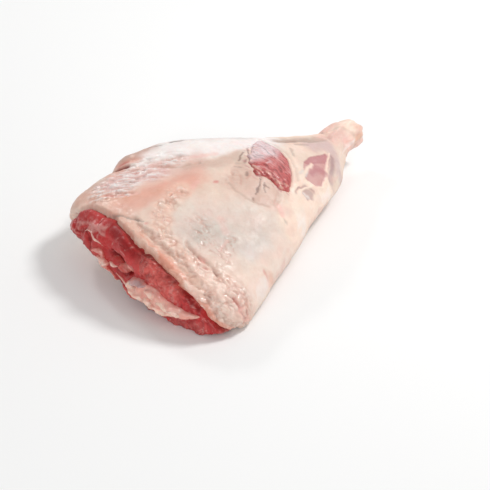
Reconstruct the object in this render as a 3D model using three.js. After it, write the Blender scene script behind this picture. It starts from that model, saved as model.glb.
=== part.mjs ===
// A raw leg of lamb, lying on its flat side, as one closed faceted solid in millimetres.
// x runs from the butcher's cut to the hock, y across the leg to its back edge, z up.
// The form is a loft: each section is four quarter superellipses that meet at the near edge,
// the crest, the back edge and the keel. What would lie below the ground is pressed flat.
// Broad swells and folds are laid over the top, the cut is closed by a bulging face of
// muscles, and the hock by a rounded knuckle. The origin is below the middle of the box.
import * as THREE from 'three';

// ---- driving dimensions -------------------------------------------------------------

const LEG_LENGTH = 358;
const CUT_BOW = 18; // how far the two corners of the cut lie behind its middle
const CUT_MIDDLE_Y = 15;
const CUT_HALF_WIDTH = 117;
// The cut's raised back corner slopes in below: so far, under this height, over this width.
const CUT_UNDERCUT = { depth: 12, below: 36, over: 100 };
// Where the outside turns into the cut: a quarter ellipse that takes so much of the length
// and draws the section in so far. At the back corner the meat slopes away.
const NEAR_LIP = { reach: 14, drop: 6 };
const BACK_LIP = { reach: 20, drop: 13 };
const LIP_CHANGE = { from: 0, to: 60 }; // the y over which one lip turns into the other
const KNUCKLE_ROUND = 12; // radius where the outside turns into the hock's end
const NEAR_FULLNESS = 1.85; // superellipse power of the near half, above; 2 is an ellipse
const UNDER_FULLNESS = 2.4; // the same, below
const UNDER_FULLNESS_AT_CUT = 1.2; // below the back edge, where the cut leaves it chamfered
const CHAMFER_LENGTH = 100; // how far along the leg that chamfer fades out

const FACE_MIDDLE = { y: 0, z: 31 };
const FACE_BULGE = 4; // how far the meat swells out of the cut all over
const HOCK_END_Z = 36;
const RELIEF_ABOVE = 0.4; // the relief is whole where a section stands this steep, and upwards
const RELIEF_FADE = { from: 270, to: 320 }; // and ends towards the hock between these

const POINTS_AROUND = 72;
const SECTIONS = 41;
const FACE_RINGS = 8;
const LIP_RINGS = 4;
const KNUCKLE_RINGS = 4;

// Sections along the leg, each at its x. near and back are the y of the two edges, at heights
// nearZ and backZ; crest is the y of the highest point, at height top; keel is the y of the
// lowest, at height under; shoulder is the superellipse power of the back half, above.
const COLUMNS = ['x', 'near', 'back', 'crest', 'top', 'nearZ', 'backZ', 'keel', 'under', 'shoulder'];
const SECTIONS_ALONG = {
  cut:     [   0, -107,  123,    5,   65,    9,   38,  -54,   -2,  2.2],
  chump:   [  36, -111,  131,   14,   72,    9,   37,  -36,   -4,  2.4],
  hip:     [  72,  -99,  131,   27, 76.5,   11,   35,  -18, -4.5,  2.5],
  flank:   [  97,  -88,  144,   36,   78,   14,   36,    0, -5.5,  2.7],
  thigh:   [ 135,  -73,  141,   40,   82,   20,   38,   14, -5.5,  2.6],
  knuckle: [ 171,  -57,  123,   40,   83,   23,   36,   22, -4.5,  2.4],
  stifle:  [ 207,  -38,   99,   38,   79,   25,   34,   25,   -2,  2.2],
  gaskin:  [ 248,  -21,   79,   34, 67.5,   27,   32,   29,  5.5,  2.1],
  shin:    [ 281,   -5,   67,   36, 58.5,   27,   32,   32,   11,  2.1],
  neck:    [ 304,   14,   61,   41,   54,   31,   34,   38,   15,  2.1],
  hock:    [ 326,   31,   64,   49,   54,   34,   36,   47,   20,  2.1],
  tip:     [ 358,   36,   62,   50, 50.5,   34,   36,   50, 21.5,  2.1],
};

// Broad swells of the top, seen from above: a bell around x and y, so long and so wide at
// half its height, turned by so many degrees from the length of the leg. A hollow sinks.
const SWELLS = [
  { of: 'back lobe', x: 138, y: 96, long: 46, wide: 24, turn: -40, rise: 3 },
  { of: 'hollow over the hip', x: 76, y: -40, long: 30, wide: 24, turn: 10, rise: -4 },
  { of: 'fat over the flank', x: 70, y: 20, long: 48, wide: 14, turn: 20, rise: 2 },
  { of: 'knob at the near corner', x: 34, y: -94, long: 20, wide: 20, turn: 0, rise: 3 },
  { of: 'stifle muscle', x: 190, y: 8, long: 22, wide: 26, turn: -15, rise: 3 },
  { of: 'shin muscle', x: 246, y: -4, long: 22, wide: 14, turn: 20, rise: 2 },
];

// Folds of the top: a furrow from one place to the next, so deep and so wide.
const FOLDS = [
  { from: [80, 132], to: [98, 100], deep: 5, wide: 26 },
  { from: [98, 100], to: [119, 65], deep: 4, wide: 26 },
  { from: [119, 65], to: [160, 34], deep: 2.5, wide: 26 },
  { from: [214, 34], to: [205, -10], deep: 1.5, wide: 22 },
  { from: [205, -10], to: [182, -28], deep: 1.5, wide: 22 },
];

// Muscles that bulge out of the cut, seen from its end: so wide and so high.
const CUT_MUSCLES = [
  { of: 'back muscle', y: 94, z: 36, wide: 30, high: 22, rise: 9 },
  { of: 'middle muscle', y: 28, z: 52, wide: 24, high: 13, rise: 3 },
  { of: 'pocket', y: 8, z: 38, wide: 22, high: 13, rise: -4 },
  { of: 'near muscle', y: -50, z: 40, wide: 38, high: 18, rise: 4 },
  { of: 'seam of fat', y: -34, z: 20, wide: 34, high: 8, rise: 3 },
];

// ---- helpers ------------------------------------------------------------------------

const clamp01 = (v) => Math.min(1, Math.max(0, v));
const lerp = (a, b, f) => a + (b - a) * f;

function smoothstep(from, to, v) {
  const f = clamp01((v - from) / (to - from));
  return f * f * (3 - 2 * f);
}

// A smooth curve through one column of the sections that never overshoots: a cubic between
// neighbours, with the harmonic mean of the two slopes at each knot.
function alongLeg(column) {
  const sections = Object.values(SECTIONS_ALONG);
  const xs = sections.map((section) => section[0]);
  const vs = sections.map((section) => section[COLUMNS.indexOf(column)]);
  const rise = xs.slice(1).map((x, i) => (vs[i + 1] - vs[i]) / (x - xs[i]));
  const slope = xs.map((_, i) => {
    if (i === 0) return rise[0];
    if (i === xs.length - 1) return rise[i - 1];
    const product = rise[i - 1] * rise[i];
    return product > 0 ? (2 * product) / (rise[i - 1] + rise[i]) : 0;
  });
  return (x) => {
    let i = 0;
    while (i < xs.length - 2 && x > xs[i + 1]) i += 1;
    const step = xs[i + 1] - xs[i];
    const f = clamp01((x - xs[i]) / step);
    const g = 1 - f;
    return vs[i] * g * g * (1 + 2 * f) + vs[i + 1] * f * f * (1 + 2 * g)
      + step * f * g * (slope[i] * g - slope[i + 1] * f);
  };
}

const near = alongLeg('near');
const back = alongLeg('back');
const crest = alongLeg('crest');
const top = alongLeg('top');
const nearZ = alongLeg('nearZ');
const backZ = alongLeg('backZ');
const keel = alongLeg('keel');
const under = alongLeg('under');
const shoulder = alongLeg('shoulder');

// ---- the outside --------------------------------------------------------------------

// The section at station x and angle t: 0 is the back edge, a quarter turn is the crest.
function outline(x, t) {
  const across = Math.cos(t);
  const upward = Math.sin(t);
  const isBack = across >= 0;
  const isTop = upward >= 0;
  const middle = isTop ? crest(x) : keel(x);
  const edge = isBack ? back(x) : near(x);
  const edgeZ = isBack ? backZ(x) : nearZ(x);
  const pole = isTop ? top(x) : under(x);
  const chamfered = lerp(UNDER_FULLNESS_AT_CUT, UNDER_FULLNESS, smoothstep(0, CHAMFER_LENGTH, x));
  const aboveFullness = isBack ? shoulder(x) : NEAR_FULLNESS;
  const belowFullness = isBack ? chamfered : UNDER_FULLNESS;
  const power = 2 / (isTop ? aboveFullness : belowFullness);
  return {
    y: middle + (edge - middle) * Math.abs(across) ** power,
    z: edgeZ + (pole - edgeZ) * Math.abs(upward) ** power,
  };
}

// How far behind its foremost point the cut lies at y and z.
function cutDepth(y, z) {
  const { depth, below, over } = CUT_UNDERCUT;
  const fromMiddle = (y - CUT_MIDDLE_Y) / CUT_HALF_WIDTH;
  const low = clamp01((below - z) / below);
  return CUT_BOW * fromMiddle ** 2 + depth * low * smoothstep(0, over, y);
}

// The reach and drop of the cut's lip at angle t.
function lipAt(t) {
  const share = smoothstep(LIP_CHANGE.from, LIP_CHANGE.to, outline(0, t).y);
  return {
    reach: lerp(NEAR_LIP.reach, BACK_LIP.reach, share),
    drop: lerp(NEAR_LIP.drop, BACK_LIP.drop, share),
  };
}

// A point of the outside at station x and angle t, drawn in towards the middle of its section
// by inset, which rounds the lip of the cut and the hock's end.
function outside(x, t, inset) {
  const { y, z } = outline(x, t);
  const middleY = (near(x) + back(x)) / 2;
  const middleZ = (nearZ(x) + backZ(x)) / 2;
  const reach = Math.hypot(y - middleY, z - middleZ);
  const keep = Math.max(0, 1 - inset / reach);
  const drawnY = lerp(middleY, y, keep);
  const drawnZ = lerp(middleZ, z, keep);
  const fade = (1 - clamp01(x / LEG_LENGTH)) ** 3;
  return [x + cutDepth(drawnY, drawnZ) * fade, drawnY, drawnZ];
}

// ---- relief -------------------------------------------------------------------------

// A bell that is 1 at the middle and a half at distance 1.
const bell = (distance) => 0.5 ** (distance ** 2);

function swellAt(swell, x, y) {
  const turn = THREE.MathUtils.degToRad(swell.turn);
  const along = (x - swell.x) * Math.cos(turn) + (y - swell.y) * Math.sin(turn);
  const across = (y - swell.y) * Math.cos(turn) - (x - swell.x) * Math.sin(turn);
  return swell.rise * bell(Math.hypot(along / swell.long, across / swell.wide));
}

function foldAt(fold, x, y) {
  const [ax, ay] = fold.from;
  const runX = fold.to[0] - ax;
  const runY = fold.to[1] - ay;
  const share = clamp01(((x - ax) * runX + (y - ay) * runY) / (runX ** 2 + runY ** 2));
  const distance = Math.hypot(x - ax - runX * share, y - ay - runY * share);
  return -fold.deep * bell((2 * distance) / fold.wide);
}

// How far the top stands above its plain section at x and y.
function topRelief(x, y) {
  const swells = SWELLS.map((swell) => swellAt(swell, x, y));
  const folds = FOLDS.map((fold) => foldAt(fold, x, y));
  return swells.reduce((sum, rise) => sum + rise, 0) + Math.min(...folds);
}

// How far the cut stands out of its plain face at y and z.
function cutRelief(y, z) {
  return CUT_MUSCLES.reduce(
    (sum, { y: atY, z: atZ, wide, high, rise }) =>
      sum + rise * bell(Math.hypot((y - atY) / wide, (z - atZ) / high)),
    FACE_BULGE,
  );
}

// ---- the mesh -----------------------------------------------------------------------

const rings = [];

function addRing(pointAt) {
  const angles = Array.from({ length: POINTS_AROUND }, (_, j) => (2 * Math.PI * j) / POINTS_AROUND);
  rings.push(angles.map((t) => {
    const [x, y, z] = pointAt(t);
    return [x, y, Math.max(0, z)];
  }));
}

// A point of the outside with the relief of the top, which fades out towards the edges.
function skin(x, t, inset) {
  const [atX, y, z] = outside(x, t, inset);
  const upward = smoothstep(0, RELIEF_ABOVE, Math.sin(t));
  const beforeHock = 1 - smoothstep(RELIEF_FADE.from, RELIEF_FADE.to, x);
  return [atX, y, z + upward * beforeHock * topRelief(atX, y)];
}

// A point of the cut's lip: turn is 0 where it leaves the outside, a right angle at the face.
function lip(t, turn) {
  const { reach, drop } = lipAt(t);
  return skin(reach * (1 - Math.sin(turn)), t, drop * (1 - Math.cos(turn)));
}

// A point of the face, at a share of the way from its middle to the lip.
function face(t, share) {
  const [, rimY, rimZ] = lip(t, Math.PI / 2);
  const y = lerp(FACE_MIDDLE.y, rimY, share);
  const z = lerp(FACE_MIDDLE.z, rimZ, share);
  return [cutDepth(y, z) - cutRelief(y, z) * (1 - share ** 4), y, z];
}

for (let i = 1; i <= FACE_RINGS; i += 1) {
  addRing((t) => face(t, i / (FACE_RINGS + 1)));
}
for (let i = 0; i < LIP_RINGS; i += 1) {
  addRing((t) => lip(t, (Math.PI / 2) * (1 - i / LIP_RINGS)));
}
for (let i = 0; i <= SECTIONS; i += 1) {
  addRing((t) => skin(lerp(lipAt(t).reach, LEG_LENGTH - KNUCKLE_ROUND, i / SECTIONS), t, 0));
}
for (let i = 1; i < KNUCKLE_RINGS; i += 1) {
  const turn = (Math.PI / 2) * (i / KNUCKLE_RINGS);
  const x = LEG_LENGTH - KNUCKLE_ROUND * (1 - Math.sin(turn));
  addRing((t) => skin(x, t, KNUCKLE_ROUND * (1 - Math.cos(turn))));
}

const positions = rings.flat(2);
const cutPole = positions.length / 3;
positions.push(...face(0, 0));
const hockPole = cutPole + 1;
positions.push(LEG_LENGTH, (near(LEG_LENGTH) + back(LEG_LENGTH)) / 2, HOCK_END_Z);

const triangles = [];
for (let j = 0; j < POINTS_AROUND; j += 1) {
  const next = (j + 1) % POINTS_AROUND;
  const last = (rings.length - 1) * POINTS_AROUND;
  triangles.push(cutPole, next, j);
  triangles.push(hockPole, last + j, last + next);
  for (let i = 0; i < rings.length - 1; i += 1) {
    const row = i * POINTS_AROUND;
    const above = row + POINTS_AROUND;
    triangles.push(row + j, row + next, above + j);
    triangles.push(row + next, above + next, above + j);
  }
}

const geometry = new THREE.BufferGeometry();
geometry.setAttribute('position', new THREE.Float32BufferAttribute(positions, 3));
geometry.setIndex(triangles);
geometry.computeBoundingBox();
const middle = geometry.boundingBox.getCenter(new THREE.Vector3());
geometry.translate(-middle.x, -middle.y, -geometry.boundingBox.min.z);
geometry.computeVertexNormals();

const meat = new THREE.MeshStandardMaterial({ color: 0xdcb4a4, roughness: 0.5, metalness: 0 });
const leg = new THREE.Mesh(geometry, meat);
leg.name = 'leg_of_lamb';

const model = new THREE.Group();
model.add(leg);

export default model;
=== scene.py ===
# A raw leg of lamb: lean meat as one closed body, and over it a closed cover of fat and skin
# that dives into the meat wherever the lean shows: at the butcher's cut and in a window over
# the stifle. Smaller pieces lie on the cut: a seam of fat, silverskin, tags, flaps, and lumps
# in the pocket between the muscles. Everything is worked out in millimetres: x runs from the
# cut to the hock, y across the leg to its back edge, z up; place() brings it into the frame's
# metres.
import itertools
import math
from types import SimpleNamespace

import bpy
import numpy as np
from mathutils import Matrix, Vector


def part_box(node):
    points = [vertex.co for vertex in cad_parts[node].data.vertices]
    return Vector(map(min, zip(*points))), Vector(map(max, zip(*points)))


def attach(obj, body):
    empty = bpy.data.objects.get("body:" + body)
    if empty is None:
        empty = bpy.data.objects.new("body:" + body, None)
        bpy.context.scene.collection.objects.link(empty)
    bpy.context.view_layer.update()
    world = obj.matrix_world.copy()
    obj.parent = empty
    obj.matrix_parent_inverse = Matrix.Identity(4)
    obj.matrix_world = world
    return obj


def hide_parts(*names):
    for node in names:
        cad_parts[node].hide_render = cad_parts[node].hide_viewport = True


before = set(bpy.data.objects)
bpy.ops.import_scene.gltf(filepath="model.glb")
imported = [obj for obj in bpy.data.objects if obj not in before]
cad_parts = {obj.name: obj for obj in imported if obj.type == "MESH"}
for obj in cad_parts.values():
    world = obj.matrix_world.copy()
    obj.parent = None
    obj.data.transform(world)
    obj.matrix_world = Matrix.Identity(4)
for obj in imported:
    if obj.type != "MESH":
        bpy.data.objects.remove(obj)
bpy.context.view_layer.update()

LEG = "leg_of_lamb"
CAD_HIGH = np.array(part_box(LEG)[1]) * 1000

# ---- the form of the leg --------------------------------------------------------------------

LEG_LENGTH = 358
BACK_REACH = 144  # the furthest y of the back edge
CUT_BOW = 18  # how far the cut's two sides lie behind its middle
CUT_MIDDLE_Y = 15
CUT_HALF_WIDTH = 117
CUT_UNDERCUT = {"depth": 12, "below": 36, "over": 100}
NEAR_LIP = {"reach": 14, "drop": 6}
BACK_LIP = {"reach": 20, "drop": 13}
LIP_CHANGE = (0, 60)  # the y over which the near lip turns into the back lip
KNUCKLE_ROUND = 12
NEAR_FULLNESS = 1.85  # the superellipses' powers, here and in the next two
UNDER_FULLNESS = 2.4
UNDER_FULLNESS_AT_CUT = 1.2
CHAMFER_LENGTH = 100  # the x up to which the back's lower edge is chamfered
FACE_MIDDLE_Z = 31
FACE_BULGE = 4
RELIEF_ABOVE = 0.4  # the sine of the angle round the leg from which the top's relief is full
RELIEF_FADE = (270, 320)  # the x over which it fades
SHANK_RADIUS = 26  # these two turn angles round the leg into lengths
CUT_RADIUS = 60
FIBRES_RUN = -78  # degrees from x, seen from above, of the fibres in the stifle window

COLUMNS = ("x", "near", "back", "crest", "top", "near_z", "back_z", "keel", "under", "shoulder")
SECTIONS = np.array([
    [0, -107, 123, 5, 65, 9, 38, -54, -2, 2.2],
    [36, -111, 131, 14, 72, 9, 37, -36, -4, 2.4],
    [72, -99, 131, 27, 76.5, 11, 35, -18, -4.5, 2.5],
    [97, -88, 144, 36, 78, 14, 36, 0, -5.5, 2.7],
    [135, -73, 141, 40, 82, 20, 38, 14, -5.5, 2.6],
    [171, -57, 123, 40, 83, 23, 36, 22, -4.5, 2.4],
    [207, -38, 99, 38, 79, 25, 34, 25, -2, 2.2],
    [248, -21, 79, 34, 67.5, 27, 32, 29, 5.5, 2.1],
    [281, -5, 67, 36, 58.5, 27, 32, 32, 11, 2.1],
    [304, 14, 61, 41, 54, 31, 34, 38, 15, 2.1],
    [326, 31, 64, 49, 54, 34, 36, 47, 20, 2.1],
    [358, 36, 62, 50, 50.5, 34, 36, 50, 21.5, 2.1],
])

# Broad swells of the top: x, y, half length, half width, turn in degrees, rise.
SWELLS = [
    (138, 96, 46, 24, -40, 3),
    (76, -40, 30, 24, 10, -4),
    (70, 20, 48, 14, 20, 2),
    (34, -94, 20, 20, 0, 3),
    (190, 8, 22, 26, -15, 3),
    (246, -4, 22, 14, 20, 2),
]
# Furrows of the top: from, to, depth, width.
FOLDS = [
    ((80, 132), (98, 100), 5, 26),
    ((98, 100), (119, 65), 4, 26),
    ((119, 65), (160, 34), 2.5, 26),
    ((214, 34), (205, -10), 1.5, 22),
    ((205, -10), (182, -28), 1.5, 22),
]
# Muscles that bulge out of the cut: y, z, half width, half height, rise.
CUT_MUSCLES = [
    (94, 36, 30, 22, 9),
    (28, 52, 24, 13, 3),
    (8, 38, 22, 13, -4),
    (-50, 40, 38, 18, 4),
    (-34, 20, 34, 8, 3),
]

SHIFT = np.array([CAD_HIGH[0] - LEG_LENGTH, CAD_HIGH[1] - BACK_REACH, 0])


def smooth(low, high, value):
    """0 up to low, 1 from high, and an S-shaped rise between."""
    share = np.clip((value - low) / (high - low), 0, 1)
    return share * share * (3 - 2 * share)


def mix(first, second, share):
    """The first at share 0 and the second at share 1."""
    return first + (second - first) * share


def bell(distance):
    """1 at the middle and a half at distance 1."""
    return 0.5 ** (distance ** 2)


def along_leg(column, x):
    """One column of the sections at every x: a cubic between neighbours, whose slope at each
    section is the harmonic mean of the slopes on its two sides, so that it never overshoots."""
    knots = SECTIONS[:, 0]
    values = SECTIONS[:, COLUMNS.index(column)]
    rise = np.diff(values) / np.diff(knots)
    before, after = rise[:-1], rise[1:]
    same_way = before * after > 0
    total = np.where(same_way, before + after, 1)
    inner = np.where(same_way, 2 * before * after / total, 0)
    slope = np.concatenate([rise[:1], inner, rise[-1:]])
    i = np.clip(np.searchsorted(knots, x, side="left") - 1, 0, len(knots) - 2)
    step = knots[i + 1] - knots[i]
    f = np.clip((x - knots[i]) / step, 0, 1)
    g = 1 - f
    return (values[i] * g * g * (1 + 2 * f) + values[i + 1] * f * f * (1 + 2 * g)
            + step * f * g * (slope[i] * g - slope[i + 1] * f))


def section(x, t):
    """y and z of the section at x: four quarter superellipses, with t = 0 at the back edge and
    a quarter turn at the crest."""
    across, upward = np.cos(t), np.sin(t)
    is_back, is_top = across >= 0, upward >= 0
    middle = np.where(is_top, along_leg("crest", x), along_leg("keel", x))
    edge = np.where(is_back, along_leg("back", x), along_leg("near", x))
    edge_z = np.where(is_back, along_leg("back_z", x), along_leg("near_z", x))
    pole = np.where(is_top, along_leg("top", x), along_leg("under", x))
    chamfered = mix(UNDER_FULLNESS_AT_CUT, UNDER_FULLNESS, smooth(0, CHAMFER_LENGTH, x))
    above = np.where(is_back, along_leg("shoulder", x), NEAR_FULLNESS)
    below = np.where(is_back, chamfered, UNDER_FULLNESS)
    power = 2 / np.where(is_top, above, below)
    y = middle + (edge - middle) * np.abs(across) ** power
    z = edge_z + (pole - edge_z) * np.abs(upward) ** power
    return y, z


def cut_depth(y, z):
    """How far behind its foremost point the cut lies."""
    undercut = CUT_UNDERCUT
    low = np.clip((undercut["below"] - z) / undercut["below"], 0, 1)
    bow = CUT_BOW * ((y - CUT_MIDDLE_Y) / CUT_HALF_WIDTH) ** 2
    return bow + undercut["depth"] * low * smooth(0, undercut["over"], y)


def lip_size(t):
    """The reach and drop of the cut's lip."""
    share = smooth(*LIP_CHANGE, section(np.zeros_like(t), t)[0])
    return (mix(NEAR_LIP["reach"], BACK_LIP["reach"], share),
            mix(NEAR_LIP["drop"], BACK_LIP["drop"], share))


def top_relief(x, y):
    """How far the swells and furrows of the top raise it or lower it."""
    total = np.zeros_like(x)
    for at_x, at_y, long, wide, turn, rise in SWELLS:
        turn = math.radians(turn)
        along = (x - at_x) * math.cos(turn) + (y - at_y) * math.sin(turn)
        across = (y - at_y) * math.cos(turn) - (x - at_x) * math.sin(turn)
        total += rise * bell(np.hypot(along / long, across / wide))
    furrows = [-deep * bell(2 * path_distance(x, y, [start, end]) / wide)
               for start, end, deep, wide in FOLDS]
    return total + np.min(furrows, axis=0)


def skin(x, t, inset):
    """The outside at station x, drawn in towards its section's middle by inset, with the relief
    of the top: points of shape (rings, around, 3)."""
    y, z = section(x, t)
    middle_y = (along_leg("near", x) + along_leg("back", x)) / 2
    middle_z = (along_leg("near_z", x) + along_leg("back_z", x)) / 2
    keep = np.maximum(0, 1 - inset / np.hypot(y - middle_y, z - middle_z))
    y, z = mix(middle_y, y, keep), mix(middle_z, z, keep)
    x = x + cut_depth(y, z) * (1 - np.clip(x / LEG_LENGTH, 0, 1)) ** 3
    weight = smooth(0, RELIEF_ABOVE, np.sin(t)) * (1 - smooth(*RELIEF_FADE, x))
    return np.stack([x, y, z + weight * top_relief(x, y)], axis=-1)


def cut_relief(y, z):
    """How far the muscles bulge out of the cut."""
    total = np.full_like(y, FACE_BULGE)
    for at_y, at_z, wide, high, rise in CUT_MUSCLES:
        total += rise * bell(np.hypot((y - at_y) / wide, (z - at_z) / high))
    return total


def even_angles(count, below):
    """Angles that step evenly round the thigh's section; below the edges the steps are longer,
    by 1/below."""
    t = np.linspace(0, 2 * np.pi, 4001)
    y, z = section(np.full_like(t, 110.0), t)
    weight = np.where(np.sin((t[1:] + t[:-1]) / 2) > 0, 1, below)
    travelled = np.concatenate([[0], np.cumsum(np.hypot(np.diff(y), np.diff(z)) * weight)])
    return np.interp(np.arange(count) * travelled[-1] / count, travelled, t)


def leg_rings(angles, face_rings, lip_rings, stations, knuckle_rings):
    """Rings of points from the middle of the cut to the hock's end, and for each point how far
    it lies from the cut's rim, measured along the leg: negative on the cut."""
    t = np.broadcast_to(angles, (1, len(angles)))
    reach, drop = lip_size(t)

    def lip(turn):
        """The rounded edge of the cut: turn goes from a quarter turn at the rim to 0."""
        return skin(reach * (1 - np.sin(turn)), t, drop * (1 - np.cos(turn)))

    share = ((np.arange(face_rings) + 0.5) / face_rings)[:, None]
    rim = lip(np.full((1, 1), math.pi / 2))
    face_y = share * rim[..., 1]
    face_z = mix(FACE_MIDDLE_Z, rim[..., 2], share)
    face_x = cut_depth(face_y, face_z) - cut_relief(face_y, face_z) * (1 - share ** 4)
    turns = (math.pi / 2) * (1 - np.arange(lip_rings) / lip_rings)[:, None]
    stations = np.asarray(stations)[:, None]
    body_x = mix(reach, LEG_LENGTH - KNUCKLE_ROUND, stations)
    knuckle = (math.pi / 2) * (np.arange(1, knuckle_rings) / knuckle_rings)[:, None]
    knuckle_x = LEG_LENGTH - KNUCKLE_ROUND * (1 - np.sin(knuckle))
    rings = np.concatenate([
        np.stack([face_x, face_y, face_z], axis=-1),
        lip(turns),
        skin(body_x, t, 0),
        skin(knuckle_x + 0 * t, t, KNUCKLE_ROUND * (1 - np.cos(knuckle))),
    ])
    rings[..., 2] = np.maximum(rings[..., 2], 0)
    steps = np.linalg.norm(np.diff(rings, axis=0), axis=-1)
    travelled = np.concatenate([np.zeros_like(steps[:1]), np.cumsum(steps, axis=0)])
    return rings, travelled - travelled[face_rings]


def outward(rings):
    """Unit normals of a grid of rings, from the differences along and around."""
    along = np.gradient(rings, axis=0)
    around = np.roll(rings, -1, axis=1) - np.roll(rings, 1, axis=1)
    normal = np.cross(around, along)
    return normal / np.maximum(np.linalg.norm(normal, axis=-1, keepdims=True), 1e-9)


# ---- patterns -------------------------------------------------------------------------------

def path_distance(x, y, path):
    """Distance to a path of straight runs, or to its one point."""
    if len(path) == 1:
        return np.hypot(x - path[0][0], y - path[0][1])
    nearest = np.full(np.shape(x), np.inf)
    for (ax, ay), (bx, by) in zip(path[:-1], path[1:]):
        run_x, run_y = bx - ax, by - ay
        share = np.clip(((x - ax) * run_x + (y - ay) * run_y) / (run_x ** 2 + run_y ** 2), 0, 1)
        away = np.hypot(x - ax - run_x * share, y - ay - run_y * share)
        nearest = np.minimum(nearest, away)
    return nearest


def outline_distance(x, y, corners):
    """Distance to a closed outline, negative inside it."""
    inside = np.zeros(np.shape(x), bool)
    for (ax, ay), (bx, by) in zip(corners, corners[1:] + corners[:1]):
        if ay == by:
            continue
        crosses = (ay > y) != (by > y)
        inside ^= crosses & (x < ax + (y - ay) * (bx - ax) / (by - ay))
    away = path_distance(x, y, corners + corners[:1])
    return np.where(inside, -away, away)


def hashed(cell, seed):
    """A scrambled whole number for every lattice cell."""
    cell = cell.astype(np.int64).astype(np.uint32)
    mixed = (cell[..., 0] * np.uint32(73856093) ^ cell[..., 1] * np.uint32(19349663)
             ^ cell[..., 2] * np.uint32(83492791) ^ np.uint32(seed * 668265263 & 0xFFFFFFFF))
    for factor in (2246822519, 3266489917):
        mixed = (mixed ^ (mixed >> np.uint32(15))) * np.uint32(factor)
    return mixed ^ (mixed >> np.uint32(16))


def three_fractions(number):
    """Three values from 0 to 1 out of each scrambled number."""
    return np.stack([(number >> np.uint32(shift) & np.uint32(1023)) / 1023
                     for shift in (0, 10, 20)], axis=-1)


def noise(points, size, seed):
    """Gradient noise from about -1 to 1, in lumps of the given size or sizes along x, y, z."""
    scaled = points / np.asarray(size, float)
    cell = np.floor(scaled)
    inside = scaled - cell
    blend = inside ** 3 * (inside * (inside * 6 - 15) + 10)
    total = 0
    for corner in itertools.product((0, 1), repeat=3):
        slope = three_fractions(hashed(cell + corner, seed)) * 2 - 1
        weight = np.prod(np.where(corner, blend, 1 - blend), axis=-1)
        total = total + weight * np.sum(slope * (inside - corner), axis=-1)
    return 1.6 * total


def layered(points, size, seed, layers=3):
    """Noise in layers, each half as large and half as strong as the one before."""
    return sum(noise(points, np.asarray(size, float) / 2 ** i, seed + i) / 2 ** i
               for i in range(layers))


def stirred(points, reach, size, seeds):
    """The points moved about by noise, which makes the edges of what they carry uneven."""
    return points + reach * np.stack([layered(points, size, seed, 2) for seed in seeds], axis=-1)


def turned(points, degrees):
    """The points turned about z, so that a stretched pattern runs at an angle."""
    turn = math.radians(degrees)
    x, y = points[..., 0], points[..., 1]
    return np.stack([x * math.cos(turn) + y * math.sin(turn),
                     y * math.cos(turn) - x * math.sin(turn), points[..., 2]], axis=-1)


def lumps(points, size, seed):
    """One scattered seed for each lattice cell: the distances to the nearest and the second,
    in cells, and a random value of the nearest."""
    scaled = points / np.asarray(size, float)
    cell = np.floor(scaled)
    first = np.full(points.shape[:-1], np.inf)
    second = first.copy()
    value = np.zeros_like(first)
    for corner in itertools.product((-1, 0, 1), repeat=3):
        number = hashed(cell + corner, seed)
        middle = cell + corner + three_fractions(number)
        away = np.linalg.norm(scaled - middle, axis=-1)
        closer = away < first
        second = np.where(closer, first, np.minimum(second, away))
        value = np.where(closer, (number & np.uint32(255)) / 255, value)
        first = np.where(closer, away, first)
    return first, second, value


# ---- tissues --------------------------------------------------------------------------------

TISSUE = {
    "cream": (0.80, 0.615, 0.515),
    "pale": (0.93, 0.73, 0.63),
    # white film, also used for painted highlights
    "white film": (0.93, 0.86, 0.83),
    "grey white": (0.70, 0.66, 0.64),
    "rose": (0.8, 0.54, 0.47),
    "mauve": (0.80, 0.55, 0.51),
    "dusky": (0.62, 0.40, 0.33),
    "salmon": (0.78, 0.42, 0.33),
    "tan": (0.78, 0.42, 0.30),
    "dull tan": (0.75, 0.46, 0.36),
    "peach": (0.87, 0.59, 0.47),
    "grey film": (0.62, 0.525, 0.465),
    "dull film": (0.75, 0.635, 0.565),
    "shin": (0.94, 0.75, 0.625),
    "brown film": (0.42, 0.3, 0.25),
    "lilac": (0.64, 0.47, 0.45),
    "mauve film": (0.48, 0.32, 0.31),
    "lip": (0.79, 0.34, 0.24),
    "beige": (0.66, 0.46, 0.38),
    "pink": (0.87, 0.50, 0.44),
    "blood": (0.70, 0.20, 0.18),
    "char": (0.18, 0.12, 0.11),
    "crack": (0.30, 0.19, 0.16),
    # painted shade of creases and of the gaps between lumps
    "taupe": (0.60, 0.44, 0.36),
    "crease": (0.62, 0.33, 0.26),
    # silver threads of the lean, also used for painted glints
    "silver threads and glints": (0.74, 0.40, 0.36),
    "veiled red": (0.52, 0.22, 0.23),
    "veiled pink": (0.62, 0.33, 0.32),
    "veiled mauve": (0.45, 0.26, 0.25),
    "lean": (0.50, 0.035, 0.036),
    # painted shade: the lean's colour where shade falls on it
    "dark lean": (0.22, 0.006, 0.006),
    "band lean": (0.55, 0.048, 0.048),
    "coarse lean": (0.74, 0.15, 0.125),
    "light lean": (0.62, 0.26, 0.22),
    "window lean": (0.55, 0.125, 0.12),
    "window light": (0.74, 0.42, 0.40),
    "window film": (0.82, 0.68, 0.69),
    "under lean": (0.50, 0.13, 0.11),
    "seam fat": (0.84, 0.46, 0.38),
    "seam cream": (0.92, 0.68, 0.56),
    "seam pink": (0.78, 0.34, 0.29),
    "silverskin": (0.50, 0.33, 0.33),
    "tag": (0.86, 0.56, 0.48),
    "tag red": (0.62, 0.12, 0.10),
}

# Where the fat stops short of the cut's rim: angle round the leg in degrees, millimetres.
FAT_EDGE = [(0, -3), (20, -1), (34, 5), (42, 16), (52, 25), (66, 29), (75, 28), (82, 20),
            (92, 11), (107, 8), (121, 6), (130, 1), (140, -1), (155, -3), (166, -2), (174, 5),
            (182, 17), (195, 26), (240, 26), (290, 20), (330, 10), (345, -2)]

STIFLE_WINDOW = [(199, 44), (209, 50), (215, 44), (218, 24), (214, 6), (205, -10), (194, -20),
                 (184, -26), (175, -23), (172, -8), (163, 0), (168, 17), (184, 33)]

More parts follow.
